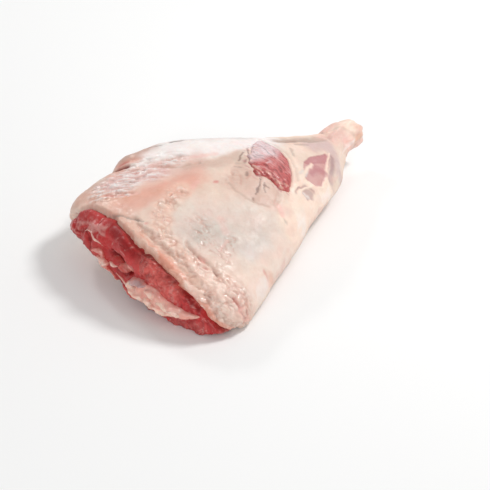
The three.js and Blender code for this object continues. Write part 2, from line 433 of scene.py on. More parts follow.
RAGGED_SIDE = [(184, 36), (166, 8), (176, -22)]  # the window's side where the film is torn

# Tints of the cover, painted in this order: tissue, path seen from above, width, softness,
# strength.
COVER_TINTS = [
    ("dull film", [(66, -24), (90, -40), (120, -52)], 70, 40, 0.8),
    ("white film", [(118, 112), (140, 95), (165, 78), (190, 66), (208, 56)], 62, 26, 1),
    ("white film", [(165, 55), (190, 46)], 18, 14, 0.7),
    ("grey white", [(160, 106), (185, 88), (206, 68)], 20, 18, 0.8),
    # the lobe's end: a dusky tan, with painted shade where it bulges
    ("dusky", [(84, 128), (98, 132), (116, 130)], 38, 22, 1),
    ("rose", [(85, 88), (105, 68), (124, 55)], 32, 20, 0.8),
    ("beige", [(124, 52), (148, 38), (168, 34)], 16, 12, 0.8),
    ("mauve", [(46, 88), (66, 92), (88, 80)], 44, 12, 1),
    ("dusky", [(26, 112), (40, 116), (54, 114)], 14, 10, 0.5),
    ("salmon", [(40, 52), (66, 46), (92, 36), (106, 36)], 32, 26, 1),
    ("tan", [(34, 78), (46, 66), (58, 44), (72, 34)], 20, 20, 0.45),
    ("salmon", [(70, 112), (82, 118)], 14, 10, 0.7),
    ("grey film", [(62, -29), (77, -31), (84, -44)], 24, 20, 1),
    ("grey film", [(96, -62), (116, -58)], 22, 24, 0.7),
    ("grey white", [(90, -68), (118, -66)], 14, 16, 0.4),
    ("beige", [(140, 0), (142, -14), (156, -26)], 26, 16, 0.7),
    ("shin", [(165, -54), (195, -46), (222, -38), (246, -24)], 34, 18, 1),
    ("shin", [(220, 8), (208, -16), (186, -34)], 12, 8, 0.6),
    ("pale", [(60, -100), (100, -84), (140, -70)], 22, 14, 0.6),
    ("brown film", [(232, 44), (258, 39), (286, 36)], 11, 9, 0.6),
    ("pale", [(240, 22)], 16, 10, 0.6),
    ("lilac", [(262, 24), (284, 22)], 18, 12, 0.9),
    ("lilac", [(283, 12), (276, -6)], 12, 8, 0.8),
    ("rose", [(300, 42), (320, 48)], 34, 14, 1),
    ("shin", [(336, 42), (346, 50)], 20, 12, 0.9),
    ("tan", [(352, 34), (344, 30)], 14, 10, 0.7),
    ("dull tan", [(26, 118), (30, 95), (30, 62), (24, 36)], 22, 16, 0.9),
    ("tan", [(20, 24), (14, 0), (10, -24), (9, -50), (14, -78), (18, -98)], 12, 8, 0.7),
    ("peach", [(88, 28), (62, 18), (46, 8), (30, -12), (24, -36), (27, -62), (32, -86)], 22, 12,
     0.7),
    ("pink", [(28, -94), (48, -100)], 22, 12, 0.3),
    ("pink", [(12, -74), (16, -90)], 7, 6, 0.6),
    ("lip", [(15, -30), (13, -44)], 8, 8, 0.4),
    # the ridge's pale fat, with painted light where the near corner turns downwards
    ("pale", [(33, -60), (36, -74), (36, -90)], 14, 12, 0.8),
    ("tan", [(34, 68), (42, 60)], 12, 10, 0.6),
    ("salmon", [(34, 54), (46, 42), (62, 33)], 18, 16, 0.5),
    # painted light on the near corner, which turns down towards the cut
    ("pale", [(24, -97), (34, -104)], 10, 10, 0.7),
    ("rose", [(154, -38), (168, -44)], 8, 8, 0.6),
]

# Marks of the cover, seen from above: tissue, path, width, strength, and how far they stand
# out or lie sunk.
COVER_MARKS = [
    # the fold below the back lobe, and the slit at its end, with painted shade in the slit
    ("salmon", [(92, 127), (99, 119), (102, 112)], 7, 0.8, -1.2),
    ("dark lean", [(83, 122), (87, 119), (91, 114)], 3.4, 1, -3),
    ("blood", [(92, 125), (96, 121)], 3, 0.8, -1.5),
    ("pale", [(103, 121)], 4, 0.8, 1),
    ("pale", [(97, 109), (91, 97)], 3.5, 0.5, 0.7),
    ("beige", [(100, 85), (110, 74), (118, 63), (134, 52)], 3, 0.8, -1.6),
    ("pink", [(80, 92), (89, 84)], 3, 0.8, -0.6),
    # white streaks on the wrinkles: partly white film, partly painted highlights
    ("white film", [(73, 97), (78, 87), (87, 83)], 4.5, 0.9, 0.7),
    ("white film", [(50, 92), (56, 86), (64, 80)], 2.4, 0.8, 0.6),
    ("white film", [(44, 86), (50, 80), (58, 70)], 2, 0.8, 0.5),
    ("pink", [(112, 88), (124, 74), (140, 62), (156, 52)], 5, 0.4, -0.4),
    # streaks on the lobe
    ("char", [(124, 122), (127, 116), (131, 109)], 2.6, 0.5, -0.4),
    ("char", [(130, 118), (136, 109)], 2, 0.35, -0.2),
    ("char", [(142, 107), (146, 104), (150, 101)], 4, 0.85, -0.5),
    ("char", [(150, 104), (155, 97)], 2.4, 0.45, -0.2),
    # the flank
    ("pink", [(37, 84), (44, 70), (56, 58)], 5, 0.6, -0.8),
    ("blood", [(38, 84), (41, 78)], 2, 0.5, -0.4),
    ("blood", [(122, 15), (124, 14)], 3, 0.7, -0.3),
    ("blood", [(29, 9)], 4, 0.5, -0.5),
    ("pink", [(98, 22), (108, 26)], 5, 0.5, 0),
    ("brown film", [(17, 70), (18, 60), (20, 50), (24, 41), (25, 34), (27, 25), (29, 14)], 1.8,
     0.9, -1.0),
    # the crevice and wrinkles of the near corner; the beige along the crevice is painted shade in
    # it
    ("beige", [(43, -33), (41, -45), (42, -56), (44, -66), (44, -78)], 3, 0.8, -2.4),
    ("pink", [(42, -54), (43, -60)], 3, 0.8, -1),
    ("pink", [(66, -56), (78, -50), (84, -48)], 3, 0.4, -1),
    ("pink", [(94, -26), (88, -40)], 8, 0.35, 0),
    ("blood", [(38, -66), (39, -68)], 2, 0.6, -0.8),
    ("blood", [(44, -101), (46, -106)], 3.5, 0.6, -1.4),
    ("pink", [(48, -108), (52, -110)], 5, 0.6, -0.6),
    ("blood", [(99, -83), (101, -86)], 3, 0.5, -0.8),
    ("tan", [(101, -86), (108, -85)], 5, 0.5, -0.5),
    ("pink", [(160, -34), (158, -46)], 5, 0.6, -0.8),
    ("char", [(157, -51)], 4, 0.35, -0.4),
    # cracks in the film beside the stifle window
    ("crack", [(185, 38), (181, 31), (175, 25), (173, 18)], 1.6, 0.9, -0.5),
    ("crack", [(177, 35), (171, 31), (165, 28)], 1.6, 0.9, -0.4),
    ("crack", [(181, 26), (177, 21), (176, 16)], 1.5, 0.8, -0.3),
    ("crack", [(170, 23), (166, 20)], 2.4, 0.7, -0.3),
    ("taupe", [(166, 20), (162, 22), (160, 26)], 3, 0.7, -0.3),
    ("crack", [(155, 22), (158, 17)], 2.2, 0.4, -0.3),
    ("crack", [(158, 7), (155, 4)], 2.6, 0.8, -0.3),
    # painted shade in these creases
    ("crease", [(161, 6), (158, 3), (152, 1)], 2.4, 0.6, -0.3),
    ("crease", [(149, 8), (147, 4), (141, -2)], 2.4, 0.5, -0.3),
    ("crack", [(163, -6), (158, -12), (152, -15), (146, -19)], 1.5, 0.9, -0.4),
    ("crack", [(154, -14), (150, -17)], 2.4, 0.8, -0.2),
    ("crack", [(140, -22), (137, -25)], 2.4, 0.8, -0.3),
    ("crack", [(164, -12), (160, -16), (157, -21)], 1.5, 0.8, -0.3),
    ("crack", [(161, -14), (164, -18)], 1.5, 0.8, -0.3),
    ("crack", [(166, -4), (163, -1)], 1.8, 0.6, -0.2),
    ("taupe", [(132, 6), (130, -6), (133, -18), (140, -29), (149, -35)], 3, 0.8, -0.4),
    # tendons and creases of the shank
    ("beige", [(172, -24), (164, -32), (156, -36)], 4, 0.4, -0.8),
    ("brown film", [(216, 52), (221, 34), (221, 14), (215, -4), (204, -20)], 3, 0.25, -1),
    ("brown film", [(232, 42), (254, 37), (272, 32), (288, 31)], 6, 0.5, -1.4),
    ("shin", [(236, 60), (256, 52), (276, 46), (300, 45), (326, 45)], 7, 0.5, 1.4),
    ("brown film", [(262, 58), (286, 52), (304, 52)], 4, 0.5, -1),
    # sinews and thin places of the back and the near side
    ("shin", [(210, 92), (240, 76), (270, 64), (300, 60)], 4, 0.5, 0.9),
    ("rose", [(150, 134), (180, 118), (205, 98)], 5, 0.5, -0.8),
    ("brown film", [(246, 30), (260, 26)], 3, 0.5, -0.6),
    ("brown film", [(234, 24), (227, 12)], 2.6, 0.5, -0.8),
    ("brown film", [(298, 30), (304, 42), (303, 54)], 6, 0.3, -1.5),
    ("shin", [(214, -14), (226, -8), (240, -2)], 3.4, 0.9, 0.4),
    ("veiled mauve", [(192, -27), (201, -23), (212, -22), (220, -26)], 2, 0.8, -0.4),
    # a painted highlight on the eye
    ("white film", [(204, -28), (209, -30)], 2.4, 0.6, 0.2),
    ("shin", [(277, 11), (270, 5), (257, -7), (246, -17), (236, -22), (222, -22), (206, -24),
              (196, -30)], 2.0, 0.9, 0.9),
    ("mauve film", [(277, 6), (270, -2), (264, -8), (256, -14)], 5, 1, -0.6),
    ("brown film", [(240, 39), (250, 36)], 6, 0.7, -0.5),
    ("veiled red", [(231, -11), (241, -8), (252, -10)], 5, 0.8, 0),
    ("shin", [(190, -27), (199, -20), (212, -18), (222, -21), (227, -27)], 3.5, 0.8, 0.9),
    ("shin", [(198, -33), (206, -37), (216, -35)], 3.5, 0.6, 0.6),
    ("shin", [(192, -31), (186, -36)], 5, 0.4, 0.5),
    # sinews of the hock
    ("pink", [(318, 30), (334, 33)], 6, 0.4, 0.4),
    ("rose", [(312, 54), (328, 54), (344, 50)], 4, 0.4, 0.6),
    ("beige", [(306, 48), (322, 44), (338, 36)], 3, 0.4, -0.7),
]

# Panes of thin film with the lean's colour behind them: tissue, outline seen from above,
# strength, rise.
COVER_PANES = [
    ("beige", [(136, 8), (150, 22), (166, 30), (178, 26), (168, 10), (164, 0), (174, -10),
               (177, -24), (166, -34), (150, -36), (140, -28), (134, -14)], 0.55, -0.3),
    ("veiled pink", [(230, 0), (243, 6), (257, 8), (271, 10), (273, 5), (263, -4), (250, -13),
                     (237, -21), (225, -22), (218, -17), (221, -9)], 0.9, -1.0),
    ("veiled red", [(231, 1), (243, 6), (257, 8), (271, 10), (271, 4), (262, -1), (246, -1),
                    (236, -4)], 0.8, -0.3),
    ("veiled red", [(243, -2), (254, -6), (250, -10), (240, -6)], 0.5, 0),
    ("grey white", [(213, -10), (222, -6), (228, -9), (222, -14)], 0.6, -0.3),
    ("mauve film", [(200, -28), (205, -25), (213, -24), (219, -27), (214, -31), (206, -32)],
     0.7, -1.0),
]

# Where the cover is thicker, seen from above: x, y, half width, rise.
COVER_SWELLS = [(84, 130, 13, 5.5), (104, 128, 12, 2.5), (66, 120, 14, 3), (47, -102, 12, 1.5)]

# Where the cover is knobbly, wrinkled and creased, seen from above: path, width, softness.
KNOBBLY = [
    ([(84, 28), (62, 17), (46, 8), (34, -10), (32, -34), (33, -60), (36, -84)], 18, 12),
    ([(30, -94), (50, -100)], 30, 14),
    ([(138, 10), (148, 16)], 10, 12),
]
WRINKLED = [
    ([(48, 88), (68, 92), (90, 80)], 42, 14),
    ([(95, 100), (120, 76)], 20, 18),
    ([(40, 84), (50, 66)], 12, 8),
]
CREASED = [
    ([(50, -80), (58, -66), (66, -54)], 16, 14),
    ([(56, -44), (66, -28), (74, -20)], 22, 18),
    ([(74, -58), (88, -48)], 14, 12),
]

# The cover's edge at the cut, going in from it: the middle and half width of its lip, of the
# hollow behind the lip and of the ridge behind the hollow.
EDGE_FORMS = [(5, 4), (13, 4.5), (22, 4.5)]

# ---- pieces ---------------------------------------------------------------------------------

def place(points):
    """Millimetres of the leg to metres of the frame."""
    return (points + SHIFT) / 1000


def with_ends(grid):
    """The values of a grid of rings in one list, and after them the means of its first and
    last ring."""
    return np.concatenate([grid.reshape(-1, *grid.shape[2:]), grid[:1].mean(axis=1),
                           grid[-1:].mean(axis=1)])


def closed_piece(name, rings, material, tint, rough):
    """A closed skin over rings of points, (rings, around, 3), with a middle point at each end.
    Its attributes tint and rough, one value for each point, are for its material."""
    count, around = rings.shape[:2]
    row = np.arange(count - 1)[:, None] * around
    here = np.arange(around)
    there = (here + 1) % around
    quads = np.stack([row + here, row + there, row + around + there, row + around + here], axis=-1)
    first, last = count * around, count * around + 1
    top_row = (count - 1) * around
    sides = list(zip(here.tolist(), there.tolist()))
    caps = [(first, b, a) for a, b in sides] + [(last, top_row + a, top_row + b) for a, b in sides]
    mesh = bpy.data.meshes.new(name)
    mesh.from_pydata(place(with_ends(rings)).tolist(), [], quads.reshape(-1, 4).tolist() + caps)
    mesh.polygons.foreach_set("use_smooth", np.ones(len(mesh.polygons), bool))
    colours = np.clip(with_ends(tint), 0, 1)
    colours = np.concatenate([colours, np.ones((len(colours), 1))], axis=1)
    layer = mesh.attributes.new("tint", "FLOAT_COLOR", "POINT")
    layer.data.foreach_set("color", colours.ravel().astype(np.float32))
    layer = mesh.attributes.new("rough", "FLOAT", "POINT")
    layer.data.foreach_set("value", np.clip(with_ends(rough), 0, 1).astype(np.float32))
    mesh.materials.append(material)
    mesh.update()
    piece = bpy.data.objects.new(name, mesh)
    bpy.context.scene.collection.objects.link(piece)
    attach(piece, "root")
    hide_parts(LEG)


def openings(rings, run, angles):
    """How far each point lies inside the fat's edge at the cut and outside the stifle window,
    and a mask of the window's torn side."""
    degrees, gaps = zip(*FAT_EDGE)
    edge = np.interp(np.degrees(angles), degrees, gaps, period=360)
    ragged = 2.6 * noise(rings, 15, 3) + 1.4 * noise(rings, 6, 4)
    at_cut = run - edge + ragged
    x, y = rings[..., 0], rings[..., 1]
    outline = outline_distance(x, y, STIFLE_WINDOW)
    torn = smooth(26, 0, path_distance(x, y, RAGGED_SIDE))
    outline = outline + torn * 3.2 * layered(turned(rings, FIBRES_RUN), (10, 4, 8), 8)
    outline = outline + 0.5 * noise(rings, 5, 9)
    is_top = np.sin(angles) > 0
    return at_cut, np.where(is_top, outline, 99), torn


def buried(at_cut, window, torn):
    """How far the lean lies below the leg's form: deep under the fat's thick edge at the cut,
    with a groove along that edge, and a little everywhere else under the fat."""
    rim = 5.5 * smooth(26, 10, at_cut) * smooth(-8, 0, at_cut)
    thick = mix(1.8, 0.7, torn)
    beside_window = thick * smooth(-3.5, 0.5, window) * smooth(-2, 2, at_cut)
    return np.maximum(rim, beside_window)


def moved(rings, normal, offset):
    """The rings moved along their normals, though never below the ground."""
    points = rings + normal * offset[..., None]
    points[..., 2] = np.maximum(points[..., 2], 0)
    return points


def stain(tint, tissue, share):
    """The tint turned towards a tissue's colour, by the share at each point."""
    return mix(tint, np.array(TISSUE[tissue]), share[..., None])


def near_path(x, y, path, wide, soft):
    """1 along a path and 0 away from it, with an edge as soft as asked."""
    return 1 - smooth(wide / 2 - soft / 2, wide / 2 + soft / 2, path_distance(x, y, path))


def paint(tint, x, y, tissue, path, wide, soft, strength, mask=1):
    """A stroke of a tissue's colour along a path."""
    return stain(tint, tissue, strength * mask * near_path(x, y, path, wide, soft))


def near_any(spots, x, y):
    """1 along each of the paths of a list such as KNOBBLY."""
    return np.max([near_path(x, y, *spot) for spot in spots], axis=0)


def cover_patterns(rings, run, angles, at_cut, normal):
    """What the cover's relief and its tints share: where each kind of surface is, from 0 to 1,
    and the patterns on it."""
    p = SimpleNamespace()
    p.upper = smooth(-0.3, 0.05, normal[..., 2])
    warped = stirred(rings, 3.5, 16, (21, 31, 41))
    p.warped_xy = warped[..., 0], warped[..., 1]
    p.fine = stirred(rings, 0.9, 6, (51, 61, 71))
    p.fine_xy = p.fine[..., 0], p.fine[..., 1]
    # rounded knobs
    patchy = smooth(-0.6, 0.3, noise(rings, 13, 99))
    p.knobbly = near_any(KNOBBLY, *p.warped_xy) * p.upper * (0.3 + 0.7 * patchy)
    first, second, p.knob_value = lumps(warped, (6, 10, 8), 101)
    p.knob_gap = second - first
    # wrinkles, and the creases of the near corner
    p.wrinkled = near_any(WRINKLED, *p.warped_xy) * p.upper
    p.streaks = layered(turned(p.fine, -48), (17, 3, 8), 121, 2)
    p.creased = near_any(CREASED, *p.warped_xy) * p.upper
    p.crease = smooth(0.13, 0.02, np.abs(noise(turned(p.fine, -80), (13, 6, 9), 135)))
    # the edge at the cut, with creases along it
    p.near_side = smooth(44, -8, rings[..., 1])
    p.on_rim = smooth(24, 16, at_cut) * smooth(0, 3, at_cut) * (0.25 + 0.75 * p.near_side)
    p.lip, p.hollow, p.ridge = (bell((at_cut - middle) / wide) for middle, wide in EDGE_FORMS)
    along_rim = np.stack([at_cut, 0 * run, angles * CUT_RADIUS + 0 * run], axis=-1)
    first, second, p.rim_value = lumps(along_rim + 2 * layered(rings, 9, 141, 2)[..., None],
                                       (6, 50, 14), 143)
    p.rim_gap = second - first
    # along the leg: the shank's cords, and the streaks of its plain sides
    p.lengthwise = np.stack([rings[..., 0], 0 * run, angles * SHANK_RADIUS + 0 * run], axis=-1)
    p.plain = smooth(0.75, 0.35, normal[..., 2]) * smooth(20, 60, run)
    p.side_streaks = layered(p.lengthwise + 4 * layered(rings, 30, 321, 2)[..., None],
                             (55, 9, 16), 325)
    return p


def cover_relief(rings, at_cut, p):
    """How far the cover stands out from its mean thickness. p: its patterns."""
    x, y = rings[..., 0], rings[..., 1]
    relief = 0.8 * layered(rings, 26, 81) + 0.2 * layered(rings, 10, 91, 2)
    for at_x, at_y, wide, rise in COVER_SWELLS:
        relief += rise * bell(np.hypot(x - at_x, y - at_y) / wide) * p.upper
    hock = smooth(292, 318, x)
    relief += hock * (3.0 * layered(rings, (24, 10, 11), 175, 2) - 0.4)
    shank = smooth(200, 250, x)
    relief += shank * 1.5 * noise(p.lengthwise, (60, 9, 11), 181)
    relief += p.knobbly * (2.0 * (smooth(0, 0.5, p.knob_gap) - 0.75) + 1.4 * (p.knob_value - 0.5)
                           + 1.2 * layered(p.fine, (5, 9, 6), 105, 2))
    relief += p.wrinkled * 2.0 * p.streaks
    furrow = smooth(0.14, 0, np.abs(noise(turned(p.fine, -56), (24, 5, 12), 131)))
    relief -= p.wrinkled * 1.2 * furrow
    relief -= p.creased * 1.1 * p.crease
    edge = 1.4 * p.lip - 1.2 * p.hollow + 2.4 * p.ridge * (0.7 + 0.9 * noise(rings, 11, 149))
    relief += edge * p.near_side * p.upper
    relief -= 1.2 * bell((at_cut - 8) / 6) * (1 - p.near_side) * p.upper
    relief += p.on_rim * (1.4 * smooth(0, 0.45, p.rim_gap) - 1.1 + 1.4 * (p.rim_value - 0.5)
                          + 0.8 * layered(rings, 7, 145, 2))
    for _, outline, _, rise in COVER_PANES:
        relief += rise * in_pane(outline, p)
    for _, path, wide, _, rise in COVER_MARKS:
        relief += rise * bell(2 * path_distance(*p.fine_xy, path) / wide) * p.upper
    return relief + 0.7 * p.plain * p.side_streaks


def in_pane(outline, p):
    """1 in a pane of thin film and 0 outside it."""
    return smooth(0.8, -0.8, outline_distance(*p.fine_xy, outline)) * p.upper


def cover_tint(rings, run, at_cut, window, normal, p):
    """The cover's colours, broad ones first. p: its patterns."""
    tint = np.broadcast_to(TISSUE["cream"], rings.shape).copy()
    for mark in COVER_TINTS:
        tint = paint(tint, *p.warped_xy, *mark, mask=p.upper)
    for tissue, outline, strength, _ in COVER_PANES:
        tint = stain(tint, tissue, strength * in_pane(outline, p))
    for tissue, path, wide, strength, _ in COVER_MARKS:
        tint = paint(tint, *p.fine_xy, tissue, path, wide, wide * 0.8, strength, mask=p.upper)
    # thin places show the lean's pink; lumps get painted highlights on their tops and painted
    # shade between them
    tint *= (1 + 0.05 * layered(rings, 14, 151))[..., None]
    tint[..., 1:] *= (1 + 0.05 * layered(rings, 22, 161))[..., None]
    tint *= (1 + 0.10 * p.knobbly * (p.knob_value - 0.5))[..., None]
    tint = stain(tint, "crease", 0.6 * p.knobbly * smooth(0.2, 0, p.knob_gap))
    tint = stain(tint, "pale", 0.75 * p.knobbly * smooth(0.15, 0.5, p.knob_gap))
    # painted shade in the creases, in the hollow behind the lip and between the rim's lumps
    tint = stain(tint, "crease", 0.5 * p.creased * p.crease)
    tint = stain(tint, "taupe", 0.12 * (p.near_side * p.upper * p.hollow))
    tint = stain(tint, "crease", 0.5 * p.on_rim * smooth(0.16, 0, p.rim_gap))
    tint = stain(tint, "pale", 0.6 * p.on_rim * smooth(0.6, 1, p.rim_value))
    lip = smooth(12, 6, at_cut) * p.near_side * p.upper * smooth(0.9, 0.4, p.rim_value)
    tint = stain(tint, "lip", 0.75 * lip)
    # on the wrinkles: white film with painted highlights on their crests, and painted shade in
    # their troughs
    tint = stain(tint, "white film", 0.9 * p.wrinkled * smooth(0.02, 0.5, p.streaks))
    tint = stain(tint, "crease", 0.5 * p.wrinkled * smooth(0.1, 0.6, -p.streaks))
    lower = 1 - smooth(-0.35, 0.05, normal[..., 2])
    tint = stain(tint, "pink", 0.5 * lower * smooth(-0.1, 0.5, layered(rings, 30, 171)))
    tint = stain(tint, "rose", 0.6 * p.plain * smooth(0.1, 0.6, p.side_streaks))
    tint = stain(tint, "white film", 0.5 * p.plain * smooth(0.1, 0.6, -p.side_streaks))
    # strokes of the lean show through the window's torn side
    torn_side = smooth(22, 6, path_distance(rings[..., 0], rings[..., 1], RAGGED_SIDE))
    strokes = smooth(0.05, 0.4, noise(turned(p.fine, FIBRES_RUN), (10, 2.2, 6), 311))
    thin = smooth(9, 0, window) * torn_side * strokes
    return stain(tint, "veiled red", 0.75 * thin * p.upper)


def make_cover(material):
    """The fat and skin. It stands over the lean by its thickness, rounds off like a quarter
    ellipse towards each opening, and goes on below the lean there."""
    angles = even_angles(count=320, below=0.45)
    rings, run = leg_rings(angles, face_rings=8, lip_rings=12, stations=np.linspace(0, 1, 284),
                           knuckle_rings=9)
    at_cut, window, torn = openings(rings, run, angles)
    normal = outward(rings)
    depth = buried(at_cut, window, torn)
    round_cut, round_window = (np.sqrt(1 - (1 - np.clip(inside / wide, 0, 1)) ** 2)
                               for inside, wide in ((at_cut, 6), (window, 2.5)))
    shown = np.minimum(round_cut, round_window)
    hidden = np.minimum(0, np.minimum(at_cut, window) * 1.6).clip(-3.5, 0)
    hidden -= 6 * smooth(-4, -12, run)
    p = cover_patterns(rings, run, angles, at_cut, normal)
    relief = cover_relief(rings, at_cut, p)
    points = moved(rings, normal, -depth + (depth + relief) * shown + hidden)
    rough = np.clip(0.8 * p.knobbly + 0.5 * p.wrinkled + 0.4 * p.on_rim + 0.4 * p.creased, 0, 1)
    tint = cover_tint(rings, run, at_cut, window, normal, p)
    closed_piece("fat_cover", points, material, tint, rough)


# Seams between the cut's muscles, seen from its end: path of y and z, width, depth.
CUT_SEAMS = [
    ([(60, 64), (53, 54), (44, 46), (30, 44), (14, 46), (2, 42), (-6, 36)], 5, 2.2),
    ([(-14, 60), (-15, 52), (-18, 44), (-24, 38)], 5, 1.6),
    ([(92, 46), (80, 50), (68, 48), (60, 44)], 3.5, 1.2),
    ([(62, 52), (57, 44), (56, 36), (58, 31)], 4, 2.2),
    ([(88, 44), (85, 36), (83, 30)], 3, 1.4),
    ([(78, 46), (76, 38), (75, 32)], 3, 1.4),
    ([(50, 34), (44, 30), (36, 24)], 5, 1.8),
    ([(22, 46), (8, 43), (-3, 38)], 8, 2.8),
]
SMOOTH_BAND = [(60, 56), (43, 52), (14, 52), (-10, 47)]  # a muscle with a smooth face

# Marks on the cut: tissue, path of y and z, width, strength, rise.
CUT_MARKS = [
    ("silver threads and glints", [(62, 56), (52, 58), (42, 62)], 3.5, 0.7, 0.8),
    ("silver threads and glints", [(66, 51), (56, 54), (46, 57), (38, 57)], 3, 0.6, 0.7),
    ("silver threads and glints", [(84, 48), (74, 53), (64, 54)], 3, 0.45, 0.8),
    ("silver threads and glints", [(92, 40), (86, 42), (80, 44)], 2.2, 0.4, 0.7),
    ("silver threads and glints", [(90, 33), (88, 27)], 2.2, 0.4, 0.6),
    ("silver threads and glints", [(81, 40), (79, 33)], 2.2, 0.4, 0.6),
    ("silver threads and glints", [(50, 62), (49, 56), (46, 52)], 2.5, 0.5, 0.5),
    # painted highlights: glints on the smooth band, and a line along its lower edge
    ("silver threads and glints", [(24, 55)], 2, 0.6, 0.4),
    ("silver threads and glints", [(17, 61), (19, 59)], 1.4, 0.5, 0.3),
    ("silver threads and glints", [(4, 58)], 1.6, 0.4, 0.2),
    ("silver threads and glints", [(-2, 61)], 1.6, 0.4, 0.2),
    ("silver threads and glints", [(10, 53), (2, 51)], 1.8, 0.4, 0.3),
    ("silver threads and glints", [(20, 49), (6, 47), (-6, 44)], 3, 0.3, 0.4),
    # painted shade in the grooves between the muscles
    ("dark lean", [(24, 45), (10, 41), (0, 34)], 4, 0.8, -1.5),
    ("dark lean", [(4, 30), (0, 34), (-4, 38)], 4, 0.7, -1.2),
    ("dark lean", [(60, 44), (56, 38), (57, 32)], 2.6, 0.7, -0.6),
    ("dark lean", [(82, 46), (70, 48), (62, 46)], 2.4, 0.6, -0.5),
]


def lean_relief(points, at_cut, window):
    """The large forms of the cut's muscles, with grooves between them, strands where the meat
    is coarse, and the window's fibres: the relief and the patterns that the tints use too."""
    bent = stirred(points, 3, 12, (191, 195, 199))
    on_cut = smooth(6, -4, at_cut)
    y, z = bent[..., 1], bent[..., 2]
    band = 1 - smooth(5, 10, path_distance(y, z, SMOOTH_BAND))
    coarse = on_cut * smooth(-8, -20, y) + 0.55 * on_cut * smooth(56, 66, y)
    coarse = np.clip(coarse + 0.25 * on_cut * smooth(40, 34, z), 0, 1) * (1 - 0.9 * band)
    first, second, value = lumps(bent, (9, 8, 11), 211)
    bundle = smooth(0, 0.45, second - first) - 0.7 + 0.8 * (value - 0.5)
    strands = layered(bent, (5, 2.6, 8), 221, 2)
    relief = coarse * (0.6 * bundle + 0.7 * strands)
    relief += on_cut * (1 - coarse) * 0.35 * layered(bent, (8, 10, 6), 227, 2)
    relief += on_cut * 2.0 * layered(points, 20, 231, 2)
    for path, wide, deep in CUT_SEAMS:
        relief -= on_cut * deep * bell(2 * path_distance(y, z, path) / wide)
    for _, path, wide, _, rise in CUT_MARKS:
        relief += on_cut * rise * bell(2 * path_distance(y, z, path) / wide)
    in_window = smooth(1, -3, window)
    fibres = noise(turned(points, FIBRES_RUN), (14, 1.9, 4), 241)
    relief += in_window * (1.2 + 0.4 * fibres + 0.3 * layered(points, 10, 251, 2))
    return relief, bent, bundle, strands, coarse, in_window


# Tints of the cut, seen from its end: tissue, path of y and z, width, softness, strength.
CUT_TINTS = [
    ("light lean", [(96, 40), (84, 50), (70, 54)], 26, 20, 0.05),
    ("band lean", SMOOTH_BAND, 15, 8, 0.9),
    ("coarse lean", [(-24, 54), (-40, 48), (-58, 42)], 22, 14, 0.75),
    ("coarse lean", [(54, 30), (44, 36)], 14, 12, 0.4),
    # painted shade: under the fat's edge at the rim, in the pocket between the muscles and along
    # the cut's foot
    ("dark lean", [(40, 68), (20, 64), (0, 60), (-16, 59)], 11, 10, 0.6),
    ("dark lean", [(24, 43), (12, 40), (0, 36)], 10, 8, 0.5),
    ("dark lean", [(-20, 62), (-50, 53), (-74, 40), (-88, 28)], 5, 6, 0.6),
    ("dark lean", [(22, 47), (8, 44), (-3, 38)], 4, 5, 0.8),
    ("dark lean", [(60, 16), (20, 10), (-20, 4)], 14, 14, 0.7),
    ("dark lean", [(14, 30), (2, 28)], 6, 6, 0.5),
    ("blood", [(-60, 6), (-90, 8)], 8, 8, 0.4),
]
# Tints of the stifle window, seen from above.
WINDOW_TINTS = [
    ("window light", [(202, 30), (196, 14)], 30, 22, 0.35),
    ("window film", [(206, 48), (208, 36), (196, 28), (184, 28)], 30, 14, 1),
    # painted shade along the window's edge, under the fat
    ("dark lean", [(218, 22), (214, 5), (205, -9)], 4, 4, 0.3),
]


